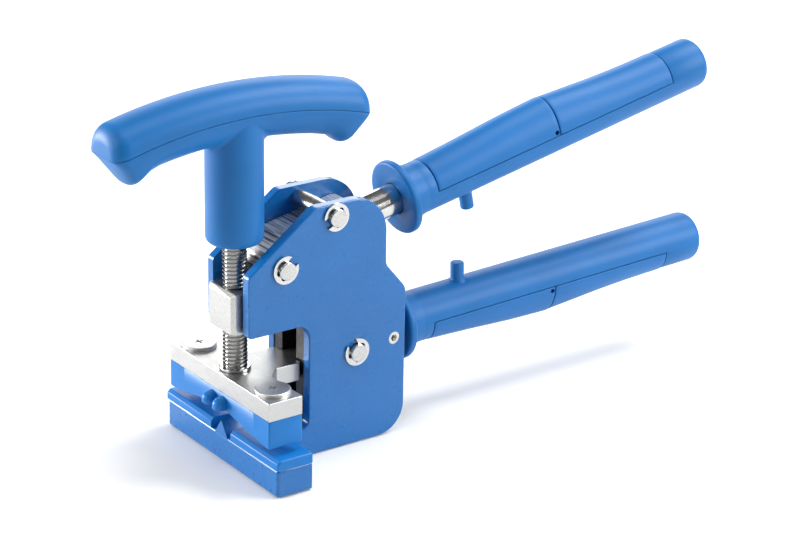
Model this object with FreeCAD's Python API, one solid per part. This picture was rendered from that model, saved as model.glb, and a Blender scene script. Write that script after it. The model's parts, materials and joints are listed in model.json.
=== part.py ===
import FreeCAD, Part
import math
import os

# Slab and tile breaking pliers, millimetres.
# Origin: where the adjusting screw's axis meets the plane of the base. +X runs back towards the
# hand levers, +Y to the far side, +Z up. "near" is -Y, "far" is +Y.

V = FreeCAD.Vector
ALONG_X = V(1, 0, 0)
ALONG_Y = V(0, 1, 0)
ALONG_Z = V(0, 0, 1)

# Lower jaw
BAR_FRONT = -8.2
BAR_BACK = 11.3
BAR_HALF_LENGTH = 50.0
BAR_TOP = 14.5
RIDGE_TOP = 22.0
RIDGE_HALF_BASE = 5.8
LOWER_PAD_TOP = 19.5
LOWER_PAD_INNER = 8.8
LOWER_PAD_OUTER = 50.6
LOWER_PAD_LIP = 0.3
LOWER_PAD_SCREW_X = 1.5
LOWER_PAD_SCREW_Y = (20.0, 40.0)
LOWER_PAD_SCREW_RADIUS = 2.0
LOWER_PAD_SCREW_SINK = 0.4
LOWER_PAD_SCREW_END = 18.0

# Side plates
PLATE_INNER = 13.4
PLATE_OUTER = 18.4
THROAT_BACK = 30.6
THROAT_TOP = 69.0
PLATE_REAR = 87.3
PLATE_TOP = 128.0
NEAR_SHOULDER = 75.3
FAR_SHOULDER = 79.3

# Cross pins: where each crosses the XZ plane
PIN_RADIUS = 4.5
PIN_HALF_LENGTH = 21.4
CLIP_RADIUS = 7.0
CLIP_SEAT_RADIUS = 3.4
CLIP_THICKNESS = 1.1
CLIP_MOUTH = 5.4
CLIP_NOTCH_RADIUS = 1.6
PIVOT = (16.5, 100.5)
STOP = (45.1, 121.4)
ROOT = (58.0, 48.9)
LOCK = (80.7, 50.8)
LOCK_RADIUS = 3.2

# Levers and grips. Distances run along each lever from its pin.
UPPER_RISE = 11.6
LOWER_RISE = 2.0
LEVER_HALF_HEIGHT = 9.8
LEVER_HALF_WIDTH = 12.9
LEVER_LENGTH = 56.0
LEVER_END_RADIUS = 8.0
CAM_OFFSET = 13.5
CAM_RADIUS = 5.0
CAM_CLEARANCE = 0.1
BUSH_RADIUS = 6.0
ROD_RADIUS = 8.0
UPPER_ROD_RANGE = (42.0, 194.0)
LOWER_ROD_RANGE = (12.0, 150.0)
ROD_SOCKET_DEPTH = 117.0
ROOT_HALF_HEIGHT = 9.5
ROOT_FRONT = -6.0
ROOT_BACK = 30.0
UPPER_GRIP_START = 77.0
LOWER_GRIP_START = 33.0
GRIP_LENGTH = 197.0
GRIP_RADIUS = 13.2
GRIP_CORE_RADIUS = 9.5
GUARD_RADIUS = 19.0
GUARD_THICKNESS = 4.0
PALM_START = 18.3
PALM_MIDDLE = 96.2
PALM_END = 171.5
PALM_GROOVE = 0.6
PALM_HALF_WIDTH = 13.3
PEG_PLACE = 42.1
PEG_RADIUS = 3.5
PEG_REACH = 22.6

# Press carriage
NUT_FRONT = -8.5
NUT_BACK = 10.0
NUT_HALF_WIDTH = 11.5
NUT_BOTTOM = 69.5
NUT_TOP = 90.0
NUT_BEVEL = 1.8
ARM_BACK = 65.0
ARM_BOTTOM = 80.0
ARM_HALF_WIDTH = 13.1
SPRING_X = 60.0
SPRING_RADIUS = 4.5
SPRING_WIRE = 1.4
SPRING_SEAT = 57.0

# Press plate and its pad
JAW_FRONT = -9.7
JAW_BACK = 9.1
JAW_HALF_LENGTH = 45.0
JAW_BOTTOM = 38.0
JAW_TOP = 47.4
TONGUE_HALF_WIDTH = 11.7
TONGUE_START = 16.0
TONGUE_BACK = 30.0
KEY_HALF_WIDTH = 6.0
KEY_BACK = 46.0
PAD_END_BOTTOM = 23.8
PAD_MIDDLE_BOTTOM = 30.3
CAP_SCREW_Y = 33.2
CAP_SCREW_RADIUS = 8.75
CAP_SCREW_HEIGHT = 1.9
CAP_SHANK_RADIUS = 2.5
CAP_SHANK_BOTTOM = 28.2
PAD_NUT_FLAT_RADIUS = 4.5
PAD_NUT_RANGE = (29.0, 34.0)
CLIP_POCKET = (8.6, 4.4)
NOSE_Y = 4.7
NOSE_X = -12.0
NOSE_RADIUS = 4.0
NOSE_BOTTOM = 30.2
NOSE_SHOULDER = 34.0

# Guide for the press plate's tongue
GUIDE_FRONT = 31.0
GUIDE_SLOT_HALF_WIDTH = 6.3
GUIDE_SLOT_BACK = 46.3
GUIDE_BACK = 51.0
GUIDE_BOTTOM = 16.0
GUIDE_TOP = 66.0

# Adjusting screw and T-handle
SCREW_RADIUS = 6.0
RUNNING_CLEARANCE = 0.05
JOURNAL_RADIUS = 4.5
COLLAR_RADIUS = 7.6
SCREW_BOTTOM = 35.0
SCREW_TOP = 152.0
STEM_RADIUS = 14.0
STEM_BOTTOM = 112.5
STEM_TOP = 172.0
STEM_LIP = 3.0
BAR_ARCH_RADIUS = 240.0
BAR_CENTRE_Z = 176.5
BAR_HALF_DEPTH = 14.8
BAR_HALF_HEIGHT = 13.8
BAR_HALF_SPAN = 70.3
PARTING_RADIUS = BAR_ARCH_RADIUS + 1.2
HOOK_START = 46.0
HOOK_TIP = (56.0, 59.5)
HOOK_TIP_Z = 152.3
HOOK_HALF_WIDTH = 12.0
HUB_RADIUS = 9.0
CROSS_PIN_Z = 135.0
CROSS_PIN_RADIUS = 2.0
CROSS_PIN_HALF_LENGTH = 8.7


def box(x_range, y_range, z_range):
    size = [high - low for low, high in (x_range, y_range, z_range)]
    return Part.makeBox(*size, V(x_range[0], y_range[0], z_range[0]))


def cylinder_z(radius, x, y, z_range):
    return Part.makeCylinder(radius, z_range[1] - z_range[0], V(x, y, z_range[0]), ALONG_Z)


def cylinder_y(radius, x, z, y_range):
    return Part.makeCylinder(radius, y_range[1] - y_range[0], V(x, y_range[0], z), ALONG_Y)


def cylinder_x(radius, x_range):
    return Part.makeCylinder(radius, x_range[1] - x_range[0], V(x_range[0], 0, 0), ALONG_X)


def rounded_wire(corners, to_vector):
    """Closed wire through (a, b, corner radius), with an arc at each corner that has a radius."""
    starts = []
    edges = []
    count = len(corners)
    for index, (a, b, radius) in enumerate(corners):
        here = V(a, b, 0)
        before = V(*corners[index - 1][:2], 0) - here
        after = V(*corners[(index + 1) % count][:2], 0) - here
        before.normalize()
        after.normalize()
        if radius == 0:
            starts.append((here, here, None))
            continue
        half = before.getAngle(after) / 2
        reach = radius / math.tan(half)
        middle = before + after
        middle.normalize()
        arc_middle = here + middle * (radius / math.sin(half) - radius)
        starts.append((here + before * reach, here + after * reach, arc_middle))
    for index, (arc_start, arc_end, arc_middle) in enumerate(starts):
        if arc_middle is not None:
            points = [to_vector(p.x, p.y) for p in (arc_start, arc_middle, arc_end)]
            edges.append(Part.Arc(*points).toShape())
        line_end = starts[(index + 1) % count][0]
        line = Part.LineSegment(to_vector(arc_end.x, arc_end.y), to_vector(line_end.x, line_end.y))
        edges.append(line.toShape())
    return Part.Wire(edges)


def slab_y(corners, y_range):
    """XZ outline extruded across the tool."""
    face = Part.Face(rounded_wire(corners, lambda x, z: V(x, y_range[0], z)))
    return face.extrude(V(0, y_range[1] - y_range[0], 0))


def slab_z(corners, z_range):
    """XY outline extruded upwards."""
    face = Part.Face(rounded_wire(corners, lambda x, y: V(x, y, z_range[0])))
    return face.extrude(V(0, 0, z_range[1] - z_range[0]))


def slab_x(corners, x_range):
    """YZ outline extruded backwards."""
    face = Part.Face(rounded_wire(corners, lambda y, z: V(x_range[0], y, z)))
    return face.extrude(V(x_range[1] - x_range[0], 0, 0))


def fillet_where(shape, radius, wanted):
    """Round the edges whose centre of mass satisfies the test."""
    return shape.makeFillet(radius, [edge for edge in shape.Edges if wanted(edge.CenterOfMass)])


def mirrored_y(shape):
    return shape.mirror(V(0, 0, 0), ALONG_Y)


def group(shapes):
    return Part.makeCompound(shapes)


def on_lever(shape, pin, rise):
    """Carry a shape drawn along +X from the pin to its place on a lever that rises to the rear."""
    placed = shape.copy()
    placed.rotate(V(0, 0, 0), ALONG_Y, -rise)
    placed.translate(V(pin[0], 0, pin[1]))
    return placed


# Lower jaw

def lower_pad_screw_places():
    return [(LOWER_PAD_SCREW_X, side * y) for side in (-1, 1) for y in LOWER_PAD_SCREW_Y]


def countersunk_screw(x, y, top):
    radius = LOWER_PAD_SCREW_RADIUS
    shank = cylinder_z(radius, x, y, (LOWER_PAD_SCREW_SINK, top))
    head = Part.makeCone(2 * radius, radius, 1.1 * radius, V(x, y, LOWER_PAD_SCREW_SINK), ALONG_Z)
    return shank.fuse(head).removeSplitter()


def lower_jaw_bar():
    bar = box((BAR_FRONT, BAR_BACK), (-BAR_HALF_LENGTH, BAR_HALF_LENGTH), (0, BAR_TOP))
    bar = fillet_where(bar, 1.6, lambda c: c.x < BAR_BACK - 1)
    ridge = slab_x(
        [(-RIDGE_HALF_BASE, BAR_TOP - 1, 0), (RIDGE_HALF_BASE, BAR_TOP - 1, 0), (0, RIDGE_TOP, 0.7)],
        (BAR_FRONT, BAR_BACK),
    )
    bar = bar.fuse(ridge).removeSplitter()
    for x, y in lower_pad_screw_places():
        clearance = countersunk_screw(x, y, BAR_TOP + 1)
        mouth = cylinder_z(2 * LOWER_PAD_SCREW_RADIUS, x, y, (-1, LOWER_PAD_SCREW_SINK))
        bar = bar.cut(clearance.fuse(mouth))
    return bar


def lower_pad_far():
    front_lip = BAR_FRONT - LOWER_PAD_LIP
    profile = [
        (front_lip, BAR_TOP, 0),
        (BAR_BACK + 0.2, BAR_TOP, 0),
        (BAR_BACK + 0.2, LOWER_PAD_TOP, 1.0),
        (front_lip + 1.8, LOWER_PAD_TOP, 1.0),
        (front_lip, LOWER_PAD_TOP - 1.6, 0.8),
    ]
    pad = slab_y(profile, (LOWER_PAD_INNER, LOWER_PAD_OUTER))
    pad = fillet_where(pad, 0.8, lambda c: c.y > LOWER_PAD_OUTER - 0.01 and c.z > BAR_TOP + 0.1)
    for x, y in lower_pad_screw_places():
        pad = pad.cut(cylinder_z(LOWER_PAD_SCREW_RADIUS, x, y, (BAR_TOP - 1, LOWER_PAD_SCREW_END)))
    return pad


def lower_pad_screws():
    hex_depth = 1.2
    screws = []
    for x, y in lower_pad_screw_places():
        screw = countersunk_screw(x, y, LOWER_PAD_SCREW_END)
        socket = hexagon_z(1.25, x, y, (0, LOWER_PAD_SCREW_SINK + hex_depth))
        screws.append(screw.cut(socket))
    return group(screws)


def hexagon_z(flat_radius, x, y, z_range):
    reach = flat_radius / math.cos(math.pi / 6)
    corners = [
        (x + reach * math.cos(k * math.pi / 3), y + reach * math.sin(k * math.pi / 3), 0)
        for k in range(6)
    ]
    return slab_z(corners, z_range)


# Side plates and what joins them

def side_plate_outline(shoulder):
    """Plate outline with its upper rear edge at the given place."""
    slope = 1.2
    return [
        (BAR_BACK, 0, 0),
        (PLATE_REAR, 0, 15),
        (PLATE_REAR, 76.4, 7),
        (shoulder, 76.4 + slope * (PLATE_REAR - shoulder), 7),
        (shoulder, PLATE_TOP, 20),
        (33.4, PLATE_TOP, 4),
        (-3.9, 100.1, 3),
        (-3.9, THROAT_TOP, 2),
        (THROAT_BACK, THROAT_TOP, 7),
        (THROAT_BACK, BAR_TOP, 5),
        (BAR_BACK, BAR_TOP, 0),
    ]


def side_plate(shoulder):
    """Plate on the far side."""
    plate = slab_y(side_plate_outline(shoulder), (PLATE_INNER, PLATE_OUTER))
    plate = fillet_where(
        plate, 0.8, lambda c: c.y > PLATE_OUTER - 0.01 and (c.x > BAR_BACK + 0.5 or c.z > BAR_TOP + 1)
    )
    for x, z in (PIVOT, STOP, ROOT):
        plate = plate.cut(cylinder_y(PIN_RADIUS, x, z, (PLATE_INNER - 1, PLATE_OUTER + 1)))
    return plate.cut(cylinder_y(LOCK_RADIUS, *LOCK, (PLATE_INNER - 1, PLATE_OUTER + 1)))


def guide_cheeks():
    cheek = box(
        (GUIDE_FRONT, GUIDE_SLOT_BACK), (GUIDE_SLOT_HALF_WIDTH, PLATE_INNER), (GUIDE_BOTTOM, GUIDE_TOP)
    )
    return group([cheek, mirrored_y(cheek)])


def guide_spacer():
    return box((GUIDE_SLOT_BACK, GUIDE_BACK), (-PLATE_INNER, PLATE_INNER), (GUIDE_BOTTOM, GUIDE_TOP))


def cross_pin(place):
    pin = cylinder_y(PIN_RADIUS, *place, (-PIN_HALF_LENGTH, PIN_HALF_LENGTH))
    pin = fillet_where(pin, 0.6, lambda c: abs(abs(c.y) - PIN_HALF_LENGTH) < 0.01)
    for side in (-1, 1):
        low, high = sorted((side * PLATE_OUTER, side * (PLATE_OUTER + CLIP_THICKNESS)))
        groove = cylinder_y(PIN_RADIUS + 1, *place, (low, high))
        pin = pin.cut(groove.cut(cylinder_y(CLIP_SEAT_RADIUS, *place, (low, high))))
    return pin


def retaining_clip(place, side, mouth_angle):
    """E-clip: three lands grip the pin's groove, and the mouth opens at mouth_angle."""
    low, high = sorted((side * PLATE_OUTER, side * (PLATE_OUTER + CLIP_THICKNESS)))
    clip = cylinder_y(CLIP_RADIUS, 0, 0, (low, high))
    clip = clip.cut(cylinder_y(CLIP_SEAT_RADIUS, 0, 0, (low - 1, high + 1)))
    mouth = box((0, 2 * CLIP_RADIUS), (low - 1, high + 1), (-CLIP_MOUTH / 2, CLIP_MOUTH / 2))
    relief = cylinder_y(CLIP_NOTCH_RADIUS, 0, 0, (low - 1, high + 1))
    for turn in (75, -75, 150, -150):
        notch = relief.copy()
        notch.translate(V(CLIP_SEAT_RADIUS + 0.4, 0, 0))
        notch.rotate(V(0, 0, 0), ALONG_Y, turn)
        clip = clip.cut(notch)
    clip = clip.cut(mouth)
    clip.rotate(V(0, 0, 0), ALONG_Y, -mouth_angle)
    clip.translate(V(place[0], 0, place[1]))
    return clip


def retaining_clips():
    mouths = ((STOP, 205), (PIVOT, 40), (ROOT, 120))
    return group([retaining_clip(place, side, angle) for place, angle in mouths for side in (-1, 1)])


def lower_handle_root():
    bar = slab_y(
        [
            (ROOT_FRONT, -ROOT_HALF_HEIGHT, 3),
            (ROOT_BACK, -ROOT_HALF_HEIGHT, 2),
            (ROOT_BACK, ROOT_HALF_HEIGHT, 2),
            (ROOT_FRONT, ROOT_HALF_HEIGHT, 3),
        ],
        (-PLATE_INNER, PLATE_INNER),
    )
    bar = on_lever(bar, ROOT, LOWER_RISE)
    bar = bar.cut(cylinder_y(PIN_RADIUS, *ROOT, (-PLATE_INNER - 1, PLATE_INNER + 1)))
    bar = bar.cut(cylinder_z(SPRING_RADIUS + 0.3, SPRING_X, 0, (SPRING_SEAT, SPRING_SEAT + 9)))
    for side in (-1, 1):
        low, high = sorted((side * lock_screw_inner(), side * (PLATE_INNER + 1)))
        bar = bar.cut(cylinder_y(LOCK_RADIUS, *LOCK, (low, high)))
    return bar.cut(lower_rod())


def lock_screw_inner():
    return ROD_RADIUS + 0.4


def lower_lock_screws():
    screw = cylinder_y(LOCK_RADIUS, *LOCK, (lock_screw_inner(), PLATE_OUTER - 0.2))
    socket = hexagon_z(1.6, 0, 0, (0, 3))
    socket.rotate(V(0, 0, 0), ALONG_X, -90)
    socket.translate(V(LOCK[0], PLATE_OUTER - 3, LOCK[1]))
    screw = screw.cut(socket)
    return group([screw, mirrored_y(screw)])


# Grips

def lower_rod():
    return on_lever(cylinder_x(ROD_RADIUS, LOWER_ROD_RANGE), ROOT, LOWER_RISE)


def upper_rod():
    return on_lever(cylinder_x(ROD_RADIUS, UPPER_ROD_RANGE), PIVOT, UPPER_RISE)


def grip_turning():
    """Guard disc, its flare and the handle's round core, drawn along +X from the guard's face."""
    end_round = 5.0
    corners = [
        (0, 0, 0),
        (0, GUARD_RADIUS, 1.4),
        (GUARD_THICKNESS, GUARD_RADIUS, 1.6),
        (GUARD_THICKNESS + 0.8, GRIP_RADIUS + 0.8, 2.0),
        (GUARD_THICKNESS + 8, GRIP_RADIUS, 4.0),
        (GRIP_LENGTH, GRIP_RADIUS, end_round),
        (GRIP_LENGTH, 0, 0),
    ]
    face = Part.Face(rounded_wire(corners, lambda x, radius: V(x, 0, radius)))
    return face.revolve(V(0, 0, 0), ALONG_X, 360)


def grip(palm_side):
    """Handle with its guard, peg and the seat for the two palm shells on one side."""
    core = grip_turning()
    peg_direction = V(0, 0, -palm_side)
    peg = Part.makeCylinder(PEG_RADIUS, PEG_REACH, V(PEG_PLACE, 0, 0), peg_direction)
    peg = fillet_where(peg, 0.5, lambda c: abs(c.z) > PEG_REACH - 0.01)
    core = core.fuse(peg).removeSplitter()
    low, high = sorted((0, palm_side * 2 * GUARD_RADIUS))
    seat = box((PALM_START, PALM_END), (-GUARD_RADIUS, GUARD_RADIUS), (low, high))
    seat = seat.cut(cylinder_x(GRIP_CORE_RADIUS, (PALM_START - 1, PALM_END + 1)))
    core = core.cut(seat)
    return core.cut(cylinder_x(ROD_RADIUS, (-1, ROD_SOCKET_DEPTH)))


def palm_section(x, height, palm_side):
    """Half ellipse over the handle's middle plane."""
    width = PALM_HALF_WIDTH
    shoulder = math.sqrt(0.5)
    left = V(x, -width, 0)
    right = V(x, width, 0)
    start = V(x, -width * shoulder, palm_side * height * shoulder)
    end = V(x, width * shoulder, palm_side * height * shoulder)
    crown = V(x, 0, palm_side * height)
    curve = Part.BSplineCurve()
    side_tangent = V(0, 0, palm_side)
    curve.interpolate([left, start, crown, end, right], InitialTangent=side_tangent,
                      FinalTangent=side_tangent * -1)
    return Part.Wire([curve.toShape(), Part.LineSegment(right, left).toShape()])


def palm_shell(stations, palm_side):
    """Raised palm shell lofted through (place, height) stations, hollow over the handle's core."""
    shell = Part.makeLoft([palm_section(x, height, palm_side) for x, height in stations], True)
    return shell.cut(cylinder_x(GRIP_CORE_RADIUS, (PALM_START - 1, PALM_END + 1)))


def palm_front(palm_side):
    stations = ((PALM_START, 13.3), (45, 14.9), (72, 16.8), (PALM_MIDDLE - PALM_GROOVE, 17.8))
    return palm_shell(stations, palm_side)


def palm_rear(palm_side):
    stations = ((PALM_MIDDLE, 17.5), (112, 16.3), (130, 14.9), (150, 13.9), (PALM_END, 13.5))
    return palm_shell(stations, palm_side)


def upper_handle_piece(shape):
    moved = shape.copy()
    moved.translate(V(UPPER_GRIP_START, 0, 0))
    return on_lever(moved, PIVOT, UPPER_RISE)


def lower_handle_piece(shape):
    moved = shape.copy()
    moved.translate(V(LOWER_GRIP_START, 0, 0))
    return on_lever(moved, ROOT, LOWER_RISE)


# Upper lever

def upper_lever():
    flank = (-LEVER_HALF_WIDTH, LEVER_HALF_WIDTH)
    bar = slab_y(
        [
            (0, -LEVER_HALF_HEIGHT, 0),
            (LEVER_LENGTH, -LEVER_HALF_HEIGHT, LEVER_END_RADIUS),
            (LEVER_LENGTH, LEVER_HALF_HEIGHT, LEVER_END_RADIUS),
            (0, LEVER_HALF_HEIGHT, 0),
        ],
        flank,
    )
    nose = cylinder_y(LEVER_HALF_HEIGHT, 0, 0, flank)
    rise = math.radians(UPPER_RISE)
    cam_drop = PIVOT[1] - NUT_TOP - CAM_CLEARANCE - CAM_RADIUS
    cam_x = CAM_OFFSET * math.cos(rise) - cam_drop * math.sin(rise)
    cam_z = -CAM_OFFSET * math.sin(rise) - cam_drop * math.cos(rise)
    cam = cylinder_y(CAM_RADIUS, cam_x, cam_z, flank)
    lever = bar.fuse([nose, cam]).removeSplitter()
    lever = lever.cut(cylinder_y(BUSH_RADIUS, 0, 0, flank))
    return on_lever(lever, PIVOT, UPPER_RISE).cut(upper_rod())


def pivot_bush():
    flank = (-LEVER_HALF_WIDTH, LEVER_HALF_WIDTH)
    bush = cylinder_y(BUSH_RADIUS, *PIVOT, flank)
    return bush.cut(cylinder_y(PIN_RADIUS + RUNNING_CLEARANCE, *PIVOT, flank))


# Press carriage

def press_carriage():
    nut = box((NUT_FRONT, NUT_BACK), (-NUT_HALF_WIDTH, NUT_HALF_WIDTH), (NUT_BOTTOM, NUT_TOP))
    nut = nut.makeChamfer(NUT_BEVEL, [
        edge for edge in nut.Edges
        if edge.CenterOfMass.x < NUT_FRONT + 0.01 and edge.CenterOfMass.z > NUT_BOTTOM + 0.01
    ])
    arm = box((NUT_BACK, ARM_BACK), (-ARM_HALF_WIDTH, ARM_HALF_WIDTH), (ARM_BOTTOM, NUT_TOP))
    carriage = nut.fuse(arm).removeSplitter()
    bore = cylinder_z(SCREW_RADIUS + RUNNING_CLEARANCE, 0, 0, (NUT_BOTTOM - 1, NUT_TOP + 1))
    return carriage.cut(bore)


def return_spring():
    ends = (SPRING_SEAT, ARM_BOTTOM - CAM_CLEARANCE)
    coil = cylinder_z(SPRING_RADIUS, SPRING_X, 0, ends)
    return coil.cut(cylinder_z(SPRING_RADIUS - SPRING_WIRE, SPRING_X, 0, ends))


# Press plate

def cap_screw_places():
    return [(0, -CAP_SCREW_Y), (0, CAP_SCREW_Y)]


def jaw_plate():
    flare = TONGUE_START - JAW_BACK
    half = [
        (JAW_FRONT, 0, 0),
        (JAW_FRONT, JAW_HALF_LENGTH, 0.6),
        (JAW_BACK, JAW_HALF_LENGTH, 0.6),
        (JAW_BACK, TONGUE_HALF_WIDTH + flare, 1.5),
        (TONGUE_START, TONGUE_HALF_WIDTH, 1.5),
        (TONGUE_BACK, TONGUE_HALF_WIDTH, 1.0),
        (TONGUE_BACK, KEY_HALF_WIDTH, 0.5),
        (KEY_BACK, KEY_HALF_WIDTH, 0.8),
        (KEY_BACK, 0, 0),
    ]
    far_half = slab_z(half, (JAW_BOTTOM, JAW_TOP))
    plate = far_half.fuse(mirrored_y(far_half)).removeSplitter()
    plate = fillet_where(plate, 0.35, lambda c: abs(c.z - JAW_TOP) < 0.01 or abs(c.z - JAW_BOTTOM) < 0.01)
    plate = plate.cut(cylinder_z(JOURNAL_RADIUS + RUNNING_CLEARANCE, 0, 0, (JAW_BOTTOM - 1, JAW_TOP + 1)))
    for x, y in cap_screw_places():
        plate = plate.cut(cylinder_z(CAP_SHANK_RADIUS, x, y, (JAW_BOTTOM - 1, JAW_TOP + 1)))
    return plate


def upper_pad():
    body = slab_x(
        [
            (-JAW_HALF_LENGTH, JAW_BOTTOM, 0),
            (-JAW_HALF_LENGTH, PAD_END_BOTTOM, 2.0),
            (-JAW_HALF_LENGTH + 5, PAD_END_BOTTOM, 2.0),
            (0, PAD_MIDDLE_BOTTOM, 8.0),
            (JAW_HALF_LENGTH - 5, PAD_END_BOTTOM, 2.0),
            (JAW_HALF_LENGTH, PAD_END_BOTTOM, 2.0),
            (JAW_HALF_LENGTH, JAW_BOTTOM, 0),
        ],
        (JAW_FRONT, JAW_BACK),
    )
    for side in (-1, 1):
        nose = cylinder_z(NOSE_RADIUS, NOSE_X, side * NOSE_Y, (NOSE_BOTTOM, NOSE_SHOULDER))
        nose = fillet_where(nose, 1.2, lambda c: c.z < NOSE_BOTTOM + 0.01)
        cone = Part.makeCone(NOSE_RADIUS, 1.0, 3.0, V(NOSE_X, side * NOSE_Y, NOSE_SHOULDER), ALONG_Z)
        root_block = box((NOSE_X, JAW_FRONT + 1), (side * NOSE_Y - 3.4, side * NOSE_Y + 3.4),
                         (NOSE_BOTTOM + 1.5, NOSE_SHOULDER))
        body = body.fuse([nose, cone, root_block])
    body = body.removeSplitter()
    pocket_radius, pocket_depth = CLIP_POCKET
    body = body.cut(cylinder_z(pocket_radius, 0, 0, (JAW_BOTTOM - pocket_depth, JAW_BOTTOM + 1)))
    for x, y in cap_screw_places():
        body = body.cut(cylinder_z(CAP_SHANK_RADIUS, x, y, (CAP_SHANK_BOTTOM - 0.2, JAW_BOTTOM + 1)))
        body = body.cut(hexagon_z(PAD_NUT_FLAT_RADIUS, x, y, PAD_NUT_RANGE))
    return body


def pad_cap_screws():
    screws = []
    for x, y in cap_screw_places():
        head_top = JAW_TOP + CAP_SCREW_HEIGHT
        head = cylinder_z(CAP_SCREW_RADIUS, x, y, (JAW_TOP, head_top))
        head = fillet_where(head, 0.7, lambda c: c.z > JAW_TOP + 1)
        screw = head.fuse(cylinder_z(CAP_SHANK_RADIUS, x, y, (CAP_SHANK_BOTTOM, JAW_TOP)))
        for arm in ((4.6, 1.1), (1.1, 4.6)):
            slot = box((x - arm[0] / 2, x + arm[0] / 2), (y - arm[1] / 2, y + arm[1] / 2),
                       (head_top - 1.4, head_top + 1))
            screw = screw.cut(slot)
        screws.append(screw)
    return group(screws)


def pad_nuts():
    nuts = []
    for x, y in cap_screw_places():
        nut = hexagon_z(PAD_NUT_FLAT_RADIUS, x, y, PAD_NUT_RANGE)
        nuts.append(nut.cut(cylinder_z(CAP_SHANK_RADIUS, x, y, PAD_NUT_RANGE)))
    return group(nuts)


# Adjusting screw and T-handle

def adjusting_screw():
    shaft = cylinder_z(SCREW_RADIUS, 0, 0, (JAW_TOP + 0.1, SCREW_TOP))
    journal = cylinder_z(JOURNAL_RADIUS, 0, 0, (SCREW_BOTTOM, JAW_TOP + 0.1))
    screw = shaft.fuse(journal)
    groove = cylinder_z(SCREW_RADIUS, 0, 0, end_clip_range())
    groove = groove.cut(cylinder_z(CLIP_SEAT_RADIUS, 0, 0, end_clip_range()))
    screw = screw.cut(groove)
    return screw.cut(cylinder_y(CROSS_PIN_RADIUS, 0, CROSS_PIN_Z, (-SCREW_RADIUS, SCREW_RADIUS)))


def end_clip_range():
    return (JAW_BOTTOM - 1.6, JAW_BOTTOM - 0.3)


def screw_end_clip():
    ring = cylinder_z(COLLAR_RADIUS, 0, 0, end_clip_range())
    return ring.cut(cylinder_z(CLIP_SEAT_RADIUS, 0, 0, end_clip_range()))


def screw_collar():
    collar_range = (JAW_TOP + 0.3, JAW_TOP + 1.6)
    ring = cylinder_z(COLLAR_RADIUS, 0, 0, collar_range)
    ring = fillet_where(ring, 0.5, lambda c: c.z > JAW_TOP + 1.5)
    return ring.cut(cylinder_z(SCREW_RADIUS, 0, 0, collar_range))


def handle_cross_pin():
    half_length = CROSS_PIN_HALF_LENGTH
    return cylinder_y(CROSS_PIN_RADIUS, 0, CROSS_PIN_Z, (-half_length, half_length))


def handle_hub():
    hub = cylinder_z(HUB_RADIUS, 0, 0, (STEM_BOTTOM + STEM_LIP, SCREW_TOP))
    hub = hub.cut(cylinder_z(SCREW_RADIUS, 0, 0, (STEM_BOTTOM, SCREW_TOP)))
    return hub.cut(cylinder_y(CROSS_PIN_RADIUS, 0, CROSS_PIN_Z, (-HUB_RADIUS, HUB_RADIUS)))


def arched_bar():
    """Elliptical bar bent to a gentle arch and cut square at its ends."""
    sweep = 50.0
    ellipse = Part.Ellipse(V(0, BAR_HALF_DEPTH, BAR_CENTRE_Z), V(0, 0, BAR_CENTRE_Z + BAR_HALF_HEIGHT),
                           V(0, 0, BAR_CENTRE_Z))
    face = Part.Face(Part.Wire(ellipse.toShape()))
    arch_centre = V(0, 0, BAR_CENTRE_Z - BAR_ARCH_RADIUS)
    face.rotate(arch_centre, ALONG_Y, -sweep / 2)
    bar = face.revolve(arch_centre, ALONG_Y, sweep)
    limits = box((-BAR_HALF_SPAN, BAR_HALF_SPAN), (-20, 20), (100, 200))
    return bar.common(limits)


def arch_core():
    """Everything below the bar's parting surface."""
    return cylinder_y(PARTING_RADIUS, 0, BAR_CENTRE_Z - BAR_ARCH_RADIUS, (-30, 30))


def arch_z(radius, x):
    return BAR_CENTRE_Z - BAR_ARCH_RADIUS + math.sqrt(radius ** 2 - x ** 2)


def hook_outline():
    """Finger hook under the bar's end, with the slanted face that closes the end."""
    inner_radius = BAR_ARCH_RADIUS - BAR_HALF_HEIGHT
    shoulder = HOOK_START + 4
    tip_start, tip_end = HOOK_TIP
    end_z = arch_z(PARTING_RADIUS, BAR_HALF_SPAN)
    return [
        (HOOK_START, arch_z(inner_radius, HOOK_START) + 4, 0),
        (shoulder, arch_z(inner_radius, shoulder) - 0.5, 6),
        (tip_start, HOOK_TIP_Z, 3),
        (tip_end, HOOK_TIP_Z, 4),
        (BAR_HALF_SPAN, end_z, 0),
        (tip_end, end_z, 0),
    ]


def hook_right():
    hook = slab_y(hook_outline(), (-HOOK_HALF_WIDTH, HOOK_HALF_WIDTH))
    low = arch_z(BAR_ARCH_RADIUS - BAR_HALF_HEIGHT, HOOK_START)
    return fillet_where(hook, 3.0, lambda c: abs(c.y) > HOOK_HALF_WIDTH - 0.01 and c.z < low)


def end_cutter_right():
    """Everything outside the slanted end face."""
    end_z = arch_z(PARTING_RADIUS, BAR_HALF_SPAN)
    tip_end = HOOK_TIP[1]
    outside = BAR_HALF_SPAN + 20
    below = HOOK_TIP_Z - 20
    corners = [
        (tip_end, HOOK_TIP_Z, 0),
        (tip_end, below, 0),
        (outside, below, 0),
        (outside, end_z, 0),
        (BAR_HALF_SPAN, end_z, 0),
    ]
    return slab_y(corners, (-2 * BAR_HALF_DEPTH, 2 * BAR_HALF_DEPTH))


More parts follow.
